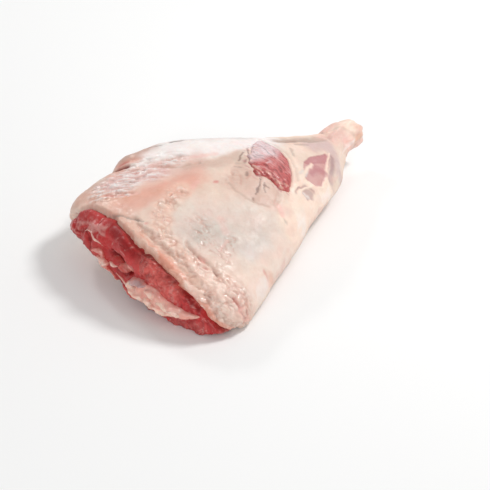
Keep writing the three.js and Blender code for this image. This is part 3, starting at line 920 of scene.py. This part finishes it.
def make_lean(material):
    """The meat: the leg's form, sunk under the fat's edge, with the relief of its muscles.
    Gives back points of its cut."""
    angles = even_angles(count=350, below=0.6)
    # the stations are closest along the stifle window
    stations = np.concatenate([np.linspace(0, 0.36, 45, endpoint=False),
                               np.linspace(0.36, 0.66, 90, endpoint=False),
                               np.linspace(0.66, 1, 34)])
    face_rings, lip_rings = 84, 12
    rings, run = leg_rings(angles, face_rings, lip_rings, stations, knuckle_rings=4)
    at_cut, window, torn = openings(rings, run, angles)
    normal = outward(rings)
    relief, bent, bundle, strands, coarse, in_window = lean_relief(rings, at_cut, window)
    depth = buried(at_cut, window, torn)
    low_edge = smooth(-0.1, -0.5, np.sin(angles)) * bell(run / 10)
    relief += 2.6 * low_edge * layered(rings, (9, 14, 9), 255, 2)
    covered = smooth(-1, 3, np.minimum(at_cut, window))
    points = moved(rings, normal, -depth - 4 * covered + relief * (1 - covered))

    x, y, z = (bent[..., i] for i in range(3))
    tint = np.broadcast_to(TISSUE["lean"], rings.shape).copy()
    on_cut = smooth(30, 20, run)
    for mark in CUT_TINTS:
        tint = paint(tint, y, z, *mark, mask=on_cut)
    tint *= (1 + 0.12 * layered(rings, 16, 287, 2))[..., None]
    tint *= (1 + 0.12 * coarse * bundle + 0.2 * coarse * strands)[..., None]
    net = on_cut * smooth(18, 8, path_distance(y, z, [(74, 50), (46, 58)]))
    threads = smooth(0.12, 0.02, np.abs(noise(bent, (6, 3, 6), 291)))
    threads = threads * np.maximum(coarse, 0.9 * net)
    patches = smooth(-0.3, 0.3, noise(rings, 14, 295))
    tint = stain(tint, "silver threads and glints", 0.5 * threads * patches)
    for tissue, path, wide, strength, _ in CUT_MARKS:
        tint = paint(tint, y, z, tissue, path, wide, wide * 0.8, strength, mask=on_cut)
    window_mask = smooth(3, 0, window)
    tint = stain(tint, "window lean", window_mask)
    for mark in WINDOW_TINTS:
        tint = paint(tint, x, y, *mark, mask=window_mask)
    fibres = noise(turned(bent, FIBRES_RUN), (13, 2, 5), 301)
    tint *= (1 - 0.4 * in_window * smooth(0.0, 0.5, -fibres))[..., None]
    tint = stain(tint, "window light", 0.6 * in_window * smooth(0.1, 0.6, fibres))
    film = in_window * smooth(14, 26, path_distance(x, y, [(222, 6), (196, -16), (176, -20)]))
    # the film's own patches, with painted glints on them
    film_patches_and_glints = smooth(0.2, 0.6, layered(bent, (7, 5, 6), 303, 2))
    tint = stain(tint, "window film", 0.5 * film * film_patches_and_glints)
    shreds = smooth(-0.05, 0.3, noise(turned(bent, FIBRES_RUN), (9, 2.4, 6), 305))
    shreds = shreds * smooth(-10, -1, window) * smooth(16, 6, path_distance(x, y, RAGGED_SIDE))
    tint = stain(tint, "peach", 0.75 * shreds * in_window)
    tint = stain(tint, "under lean", smooth(0.1, -0.3, normal[..., 2]) * smooth(0, 10, run))
    closed_piece("lean_meat", points, material, tint, 0.15 + 0.65 * coarse)
    return points[:face_rings + lip_rings, ::2].reshape(-1, 3)


def cut_surface(y, z, lean):
    """x of the lean at y and z: the mean of its points there, each with a bell's weight."""
    margin, spread = 8, 2.2
    for axis, at in ((1, y), (2, z)):
        lean = lean[np.abs(lean[:, axis] - at.mean()) < np.ptp(at) / 2 + margin]
    flat_y, flat_z = y.ravel()[:, None], z.ravel()[:, None]
    weight = bell(np.hypot(flat_y - lean[:, 1], flat_z - lean[:, 2]) / spread) + 1e-12
    return (weight @ lean[:, 0] / weight.sum(axis=1)).reshape(y.shape)


def smooth_path(knots, count):
    """A Catmull-Rom curve through the knots, in even steps of their number; each end's slope
    is that of its last straight run."""
    knots = np.asarray(knots, float)
    padded = np.concatenate([2 * knots[:1] - knots[1:2], knots, 2 * knots[-1:] - knots[-2:-1]])
    at = np.linspace(0, len(knots) - 1, count)
    i = np.minimum(at.astype(int), len(knots) - 2)
    f = (at - i)[:, None]
    a, b, c, d = (padded[i + k] for k in range(4))
    return 0.5 * (2 * b + (c - a) * f + (2 * a - 5 * b + 4 * c - d) * f ** 2
                  + (3 * b - a - 3 * c + d) * f ** 3)


def lay_on_cut(name, knots, thick, tissue, edge_tissue, material, lean, seed):
    """A strip laid on the cut, lens-shaped across. knots: y, z and half width along it. Its
    outer side bulges by thick, and its inner side lies a little inside the lean."""
    stations, around = 64, 28
    line = smooth_path(knots, stations)
    turn = np.linspace(0, 2 * np.pi, around, endpoint=False)
    run = np.gradient(line[:, :2], axis=0)
    run /= np.maximum(np.linalg.norm(run, axis=1, keepdims=True), 1e-6)
    side = np.stack([-run[:, 1], run[:, 0]], axis=1)
    half = np.maximum(line[:, 2], 0.05)[:, None] * np.abs(np.cos(turn)) * np.sign(np.cos(turn))
    y = line[:, :1] + side[:, :1] * half
    z = line[:, 1:2] + side[:, 1:] * half
    flat = np.stack([y * 0, y, z], axis=-1)
    slim = np.clip(line[:, 2:3], 0, 3) / 3
    y = y + 1.2 * slim * noise(flat, 13, seed)
    z = np.maximum(z + 1.2 * slim * noise(flat, 13, seed + 3), 0.3)
    swell = np.where(np.sin(turn) > 0, 1, 0.35) * np.sin(turn) * slim ** 0.5
    bumps = 1 + 0.7 * layered(flat, 11, seed + 5, 2) + 0.12 * noise(flat, 3.5, seed + 7)
    x = cut_surface(y, z, lean) - thick * swell * bumps
    rings = np.stack([x, y, z], axis=-1)
    edge = np.clip(np.abs(np.cos(turn)) ** 3 + 0.5 * layered(rings, 6, seed + 9), 0, 1)
    tint = mix(np.array(TISSUE[tissue]), np.array(TISSUE[edge_tissue]), edge[..., None])
    tint *= (1 + 0.15 * layered(rings, 9, seed + 11))[..., None]
    closed_piece(name, rings[:, ::-1], material, tint[:, ::-1], np.full(y.shape, 0.35))


# What lies on the cut: name, knots of y, z and half width, thickness, tissue, tissue of its
# edges.
ON_CUT = [
    ("seam_fat", [(-1, 25, 1), (-8, 25, 6.5), (-18, 24, 9.5), (-29, 26, 9.5), (-39, 27, 10.5),
                  (-47, 23, 10), (-56, 21, 9), (-66, 20, 7), (-75, 19, 4.5), (-83, 20, 2.6),
                  (-89, 22, 0.5)],
     4.5, "seam fat", "seam pink"),
    ("seam_fat_fold", [(-30, 31, 1), (-38, 31, 4.5), (-46, 27, 5), (-54, 24, 5), (-62, 21, 4.5),
                       (-70, 19, 3), (-77, 18, 0.5)], 6.5, "seam cream", "seam pink"),
    ("seam_fat_curtain", [(-6, 22, 1), (-14, 19, 4), (-24, 19, 4.5), (-34, 21, 4.5),
                          (-44, 17, 4), (-54, 14, 3), (-62, 13, 0.5)], 6.5, "seam cream",
     "seam pink"),
    ("grey_film", [(-4, 28, 0.5), (-10, 31, 3.5), (-18, 33, 4), (-26, 35, 3), (-32, 36, 0.5)],
     6, "silverskin", "seam pink"),
    ("film_lump", [(-4, 26, 0.5), (-8, 28, 3), (-13, 27, 2.6), (-18, 27, 0.5)], 6.5,
     "seam cream", "silverskin"),
    ("silverskin_strand", [(70, 47, 0.2), (66, 50, 0.7), (58, 50, 1.0), (50, 48, 1.1),
                           (42, 48, 0.7), (38, 46, 0.2)], 1.6, "tag", "seam pink"),
    ("lower_strand", [(17, 26, 0.2), (10, 23, 1), (4, 21, 1.2), (-3, 19, 1.2), (-9, 17, 0.9),
                      (-14, 14, 0.2)], 2.6, "tag", "seam pink"),
    ("upper_tag", [(52, 37, 0.3), (48, 38, 1.8), (44, 39, 2.4), (40, 40, 2.6), (37, 37, 2.4),
                   (37, 33, 0.3)], 4, "seam pink", "tag red"),
    ("middle_tag", [(44, 34, 0.5), (41, 31, 4), (37, 29, 5), (33, 29, 4), (29, 31, 0.5)],
     6, "tag", "seam pink"),
    ("small_tag", [(27, 34, 0.3), (23, 33, 2.2), (18, 34, 2), (14, 35, 0.3)], 4, "tag",
     "seam pink"),
    ("pocket_lump", [(13, 38, 0.3), (9, 37, 3.2), (4, 35, 3.2), (0, 34, 0.3)], 6, "tag red",
     "seam pink"),
    ("pocket_fold", [(23, 42, 0.3), (18, 40, 2.6), (13, 39, 2.4), (9, 40, 0.3)], 5, "lean",
     "tag red"),
    ("pocket_tag", [(3, 42, 0.3), (-1, 41, 1.8), (-4, 39, 1.6), (-6, 37, 0.3)], 5, "seam pink",
     "tag"),
    ("red_flap", [(43, 26, 0.3), (38, 24, 3.5), (31, 21.5, 4), (24, 19, 3), (17, 17, 0.3)],
     5, "seam pink", "tag red"),
    ("low_flap", [(10, 15, 0.3), (3, 14, 3), (-5, 11, 3.5), (-14, 9, 0.3)], 4, "tag red",
     "lean"),
]


# ---- materials ------------------------------------------------------------------------------

class Nodes:
    """Short ways to put nodes into one tree and to wire them."""

    def __init__(self, tree):
        self.tree = tree

    def feed(self, socket, value):
        """Links a socket to another one, or sets its value."""
        if isinstance(value, bpy.types.NodeSocket):
            self.tree.links.new(value, socket)
        else:
            socket.default_value = value

    def add(self, kind, values=None, **settings):
        node = self.tree.nodes.new(kind)
        for key, value in settings.items():
            setattr(node, key, value)
        for name, value in (values or {}).items():
            self.feed(node.inputs[name], value)
        return node

    def group(self, tree, values):
        return self.add("ShaderNodeGroup", values, node_tree=tree).outputs

    def math(self, operation, first, second):
        return self.add("ShaderNodeMath", {0: first, 1: second}, operation=operation).outputs[0]

    def times(self, first, second):
        return self.math("MULTIPLY", first, second)

    def plus(self, first, second):
        return self.math("ADD", first, second)

    def noise(self, vector, scale, detail=2.0, roughness=0.5):
        return self.add("ShaderNodeTexNoise", {"Vector": vector, "Scale": scale, "Detail": detail,
                                               "Roughness": roughness}).outputs["Fac"]

    def mix(self, share, first, second, blend="MIX"):
        node = self.add("ShaderNodeMix", data_type="RGBA", blend_type=blend)
        for name, value in (("Factor", share), ("A", first), ("B", second)):
            self.feed(next(s for s in node.inputs if s.name == name and s.enabled), value)
        return next(s for s in node.outputs if s.enabled)

    def rise(self, value, low, high):
        """0 at low and 1 at high."""
        return self.add("ShaderNodeMapRange", {"Value": value, "From Min": low,
                                               "From Max": high}).outputs[0]


FLOAT, COLOUR, VECTOR = "NodeSocketFloat", "NodeSocketColor", "NodeSocketVector"


def effect(name, inputs, outputs):
    """An empty node group with its named sockets, each given as its kind or as a number to
    start from: its Nodes, what it is given, and what it gives out."""
    tree = bpy.data.node_groups.new(name, "ShaderNodeTree")
    for label, kind in inputs.items():
        if isinstance(kind, str):
            tree.interface.new_socket(label, in_out="INPUT", socket_type=kind)
        else:
            socket = tree.interface.new_socket(label, in_out="INPUT", socket_type=FLOAT)
            socket.default_value = kind
    for label, kind in outputs.items():
        tree.interface.new_socket(label, in_out="OUTPUT", socket_type=kind)
    return (Nodes(tree), tree.nodes.new("NodeGroupInput").outputs,
            tree.nodes.new("NodeGroupOutput").inputs)


def mottling():
    """Turns a colour darker and pinker in soft spots of two sizes."""
    n, given, out = effect("Tissue mottling", {
        "Colour": COLOUR, "Deep": COLOUR, "Place": VECTOR, "Scale": 120.0, "Amount": 0.3},
        {"Colour": COLOUR})
    broad = n.noise(given["Place"], given["Scale"], 3.0, 0.6)
    fine = n.noise(given["Place"], n.times(given["Scale"], 4.0), 2.0)
    spots = n.plus(n.times(broad, 0.65), n.times(fine, 0.35))
    share = n.times(n.rise(spots, 0.4, 0.68), given["Amount"])
    n.feed(out["Colour"], n.mix(share, given["Colour"], given["Deep"], "MULTIPLY"))
    return n.tree


def wet_grain():
    """The height of a wet, finely grained skin, and its roughness, which falls in wet spots."""
    n, given, out = effect("Wet grain", {
        "Place": VECTOR, "Fine Scale": 900.0, "Broad Scale": 260.0, "Dry": 0.5, "Wet": 0.25},
        {"Height": FLOAT, "Roughness": FLOAT})
    fine = n.noise(given["Place"], given["Fine Scale"], 3.0, 0.6)
    broad = n.noise(given["Place"], given["Broad Scale"], 3.0, 0.55)
    n.feed(out["Height"], n.plus(n.times(fine, 0.35), n.times(broad, 0.65)))
    spots = n.noise(given["Place"], n.times(given["Broad Scale"], 0.35))
    dry = n.times(n.rise(spots, 0.35, 0.65), n.math("SUBTRACT", given["Dry"], given["Wet"]))
    n.feed(out["Roughness"], n.plus(dry, given["Wet"]))
    return n.tree


def fibre_lines():
    """Fine lines along one direction: a height, and a mask of the pale threads among them."""
    n, given, out = effect("Muscle fibres", {"Place": VECTOR, "Stretch": VECTOR, "Scale": 600.0},
                           {"Height": FLOAT, "Threads": FLOAT})
    mapped = n.add("ShaderNodeMapping", {"Vector": given["Place"], "Scale": given["Stretch"]})
    lines = n.noise(mapped.outputs["Vector"], given["Scale"], 3.0, 0.6)
    n.feed(out["Height"], lines)
    n.feed(out["Threads"], n.rise(lines, 0.56, 0.68))
    return n.tree


def knobs():
    """Small knobs of fat or meat where a surface is rough: a bump, with a painted highlight on
    their tops and painted shade between them.
    """
    n, given, out = effect("Rough tissue", {
        "Colour": COLOUR, "Deep": COLOUR, "Pale": COLOUR, "Place": VECTOR, "Rough": 1.0,
        "Scale": 210.0}, {"Colour": COLOUR, "Height": FLOAT})
    knob = n.noise(given["Place"], given["Scale"], 4.0, 0.62)
    between = n.times(n.rise(knob, 0.5, 0.36), given["Rough"])
    on_top = n.times(n.rise(knob, 0.56, 0.72), given["Rough"])
    colour = n.mix(between, given["Colour"], given["Deep"], "MULTIPLY")
    n.feed(out["Colour"], n.mix(n.times(on_top, 0.6), colour, given["Pale"]))
    n.feed(out["Height"], n.times(knob, given["Rough"]))
    return n.tree


MOTTLING, WET_GRAIN, FIBRES, KNOBS = mottling(), wet_grain(), fibre_lines(), knobs()


def tissue_material(name, deep, pale, mottle, dry, wet, bump, subsurface, radius, coat,
                    sheen=0.4, fibres=None):
    """A moist tissue: its tint attribute, mottled, with a wet grain, knobs where its rough
    attribute is high and, where fibres gives their stretch, strength and colour, threads.
    deep: the tint of the mottles, and of the painted shade between knobs; pale: the painted
    highlight on the knobs' tops; mottle: scale, amount; dry and wet: the two
    roughnesses; bump: strength, metres; coat: weight, and what it gains where rough is high;
    sheen: the strength of the plain highlights under the coat."""
    material = bpy.data.materials.new(name)
    material.use_nodes = True
    n = Nodes(material.node_tree)
    place_at = n.add("ShaderNodeTexCoord").outputs["Object"]
    colour = n.add("ShaderNodeAttribute", attribute_name="tint").outputs["Color"]
    rough = n.add("ShaderNodeAttribute", attribute_name="rough").outputs["Fac"]
    colour = n.group(MOTTLING, {"Colour": colour, "Deep": (*deep, 1), "Place": place_at,
                                "Scale": mottle[0], "Amount": mottle[1]})["Colour"]
    knobbed = n.group(KNOBS, {"Colour": colour, "Deep": (*deep, 1), "Pale": (*pale, 1),
                              "Place": place_at, "Rough": rough})
    colour = knobbed["Colour"]
    grain = n.group(WET_GRAIN, {"Place": place_at, "Dry": dry, "Wet": wet})
    height = n.plus(grain["Height"], n.times(knobbed["Height"], 2.0))
    if fibres is not None:
        stretch, strength, thread = fibres
        lines = n.group(FIBRES, {"Place": place_at, "Stretch": stretch})
        colour = n.mix(n.times(lines["Threads"], strength), colour, (*thread, 1))
        height = n.plus(height, n.times(lines["Height"], 0.6))
    raised = n.add("ShaderNodeBump", {"Height": height, "Strength": bump[0], "Distance": bump[1]})
    shader = material.node_tree.nodes["Principled BSDF"]
    for socket, value in {
            "Base Color": colour, "Roughness": grain["Roughness"],
            "Normal": raised.outputs["Normal"], "Specular IOR Level": sheen,
            "Subsurface Weight": subsurface, "Subsurface Radius": radius,
            "Subsurface Scale": 0.003, "Coat Roughness": 0.1,
            "Coat Weight": n.plus(n.times(rough, coat[1]), coat[0])}.items():
        n.feed(shader.inputs[socket], value)
    return material


cover_material = tissue_material(
    "fat_and_skin", deep=(0.90, 0.78, 0.74), pale=(0.96, 0.84, 0.77), mottle=(90.0, 0.35),
    dry=0.55, wet=0.35, bump=(0.7, 0.0010), subsurface=0.12, radius=(1.0, 0.45, 0.35),
    coat=(0.02, 0.5))
lean_material = tissue_material(
    "lean_meat", deep=(0.72, 0.48, 0.48), pale=(0.66, 0.26, 0.23), mottle=(120.0, 0.5),
    dry=0.44, wet=0.26, bump=(0.5, 0.0009), subsurface=0.06, radius=(1.0, 0.2, 0.15),
    coat=(0.06, 0.15), sheen=0.22, fibres=((1.0, 0.5, 1.0), 0.12, (0.60, 0.25, 0.21)))
seam_material = tissue_material(
    "seam_fat", deep=(0.88, 0.62, 0.57), pale=(0.96, 0.84, 0.78), mottle=(120.0, 0.5),
    dry=0.42, wet=0.22, bump=(0.5, 0.0007), subsurface=0.2, radius=(1.0, 0.4, 0.3),
    coat=(0.2, 0.2))

cut_points = make_lean(lean_material)
make_cover(cover_material)
for number, (name, knots, thick, tissue, edge_tissue) in enumerate(ON_CUT):
    lay_on_cut(name, knots, thick, tissue, edge_tissue, seam_material, cut_points,
               seed=400 + 20 * number)

# ---- floor, light and camera ----------------------------------------------------------------

def make_floor():
    """A plain square floor, a fifth of a millimetre under the leg so that the two do not share
    a plane."""
    mesh = bpy.data.meshes.new("floor")
    reach, level = 4.0, -0.0002
    mesh.from_pydata([(-reach, -reach, level), (reach, -reach, level), (reach, reach, level),
                      (-reach, reach, level)], [], [(0, 1, 2, 3)])
    floor = bpy.data.objects.new("floor", mesh)
    bpy.context.scene.collection.objects.link(floor)
    material = bpy.data.materials.new("floor")
    material.use_nodes = True
    shader = material.node_tree.nodes["Principled BSDF"]
    shader.inputs["Base Color"].default_value = (0.92, 0.92, 0.915, 1)
    shader.inputs["Roughness"].default_value = 0.9
    shader.inputs["Specular IOR Level"].default_value = 0.1
    mesh.materials.append(material)


def aim(thing, position, target):
    """Puts a light or camera at position, looking at target."""
    direction = np.array(target) - np.array(position)
    flat = math.hypot(direction[0], direction[1])
    thing.location = position
    thing.rotation_euler = (math.atan2(flat, -direction[2]), 0,
                            math.atan2(direction[1], direction[0]) - math.pi / 2)


def softbox(name, position, size, power):
    """A round lamp that points at the leg's middle."""
    light = bpy.data.lights.new(name, "AREA")
    light.shape = "DISK"
    light.size = size
    light.energy = power
    lamp = bpy.data.objects.new(name, light)
    bpy.context.scene.collection.objects.link(lamp)
    aim(lamp, position, (0, 0, 0.03))


make_floor()
softbox("key light", (0.95, -0.3, 1.3), 0.4, 15)
softbox("back light", (0.2, 1.6, 1.1), 0.28, 6)
softbox("front fill", (-1.5, -1.0, 1.0), 0.6, 9)

world = bpy.data.worlds.new("studio")
world.use_nodes = True
background = world.node_tree.nodes["Background"].inputs
background["Color"].default_value = (1, 1, 1, 1)
background["Strength"].default_value = 0.46
bpy.context.scene.world = world
bpy.context.scene.view_settings.view_transform = "Standard"

# Both in the leg's millimetres.
CAMERA_TARGET = np.array([148.5, 0, 0])
CAMERA_FROM_TARGET = np.array([-972.5, -1080, 943.8])
lens = bpy.data.cameras.new("camera")
lens.sensor_width = 36
lens.lens = 124.9
camera = bpy.data.objects.new("camera", lens)
bpy.context.scene.collection.objects.link(camera)
aim(camera, place(CAMERA_TARGET + CAMERA_FROM_TARGET).tolist(), place(CAMERA_TARGET).tolist())
bpy.context.scene.camera = camera
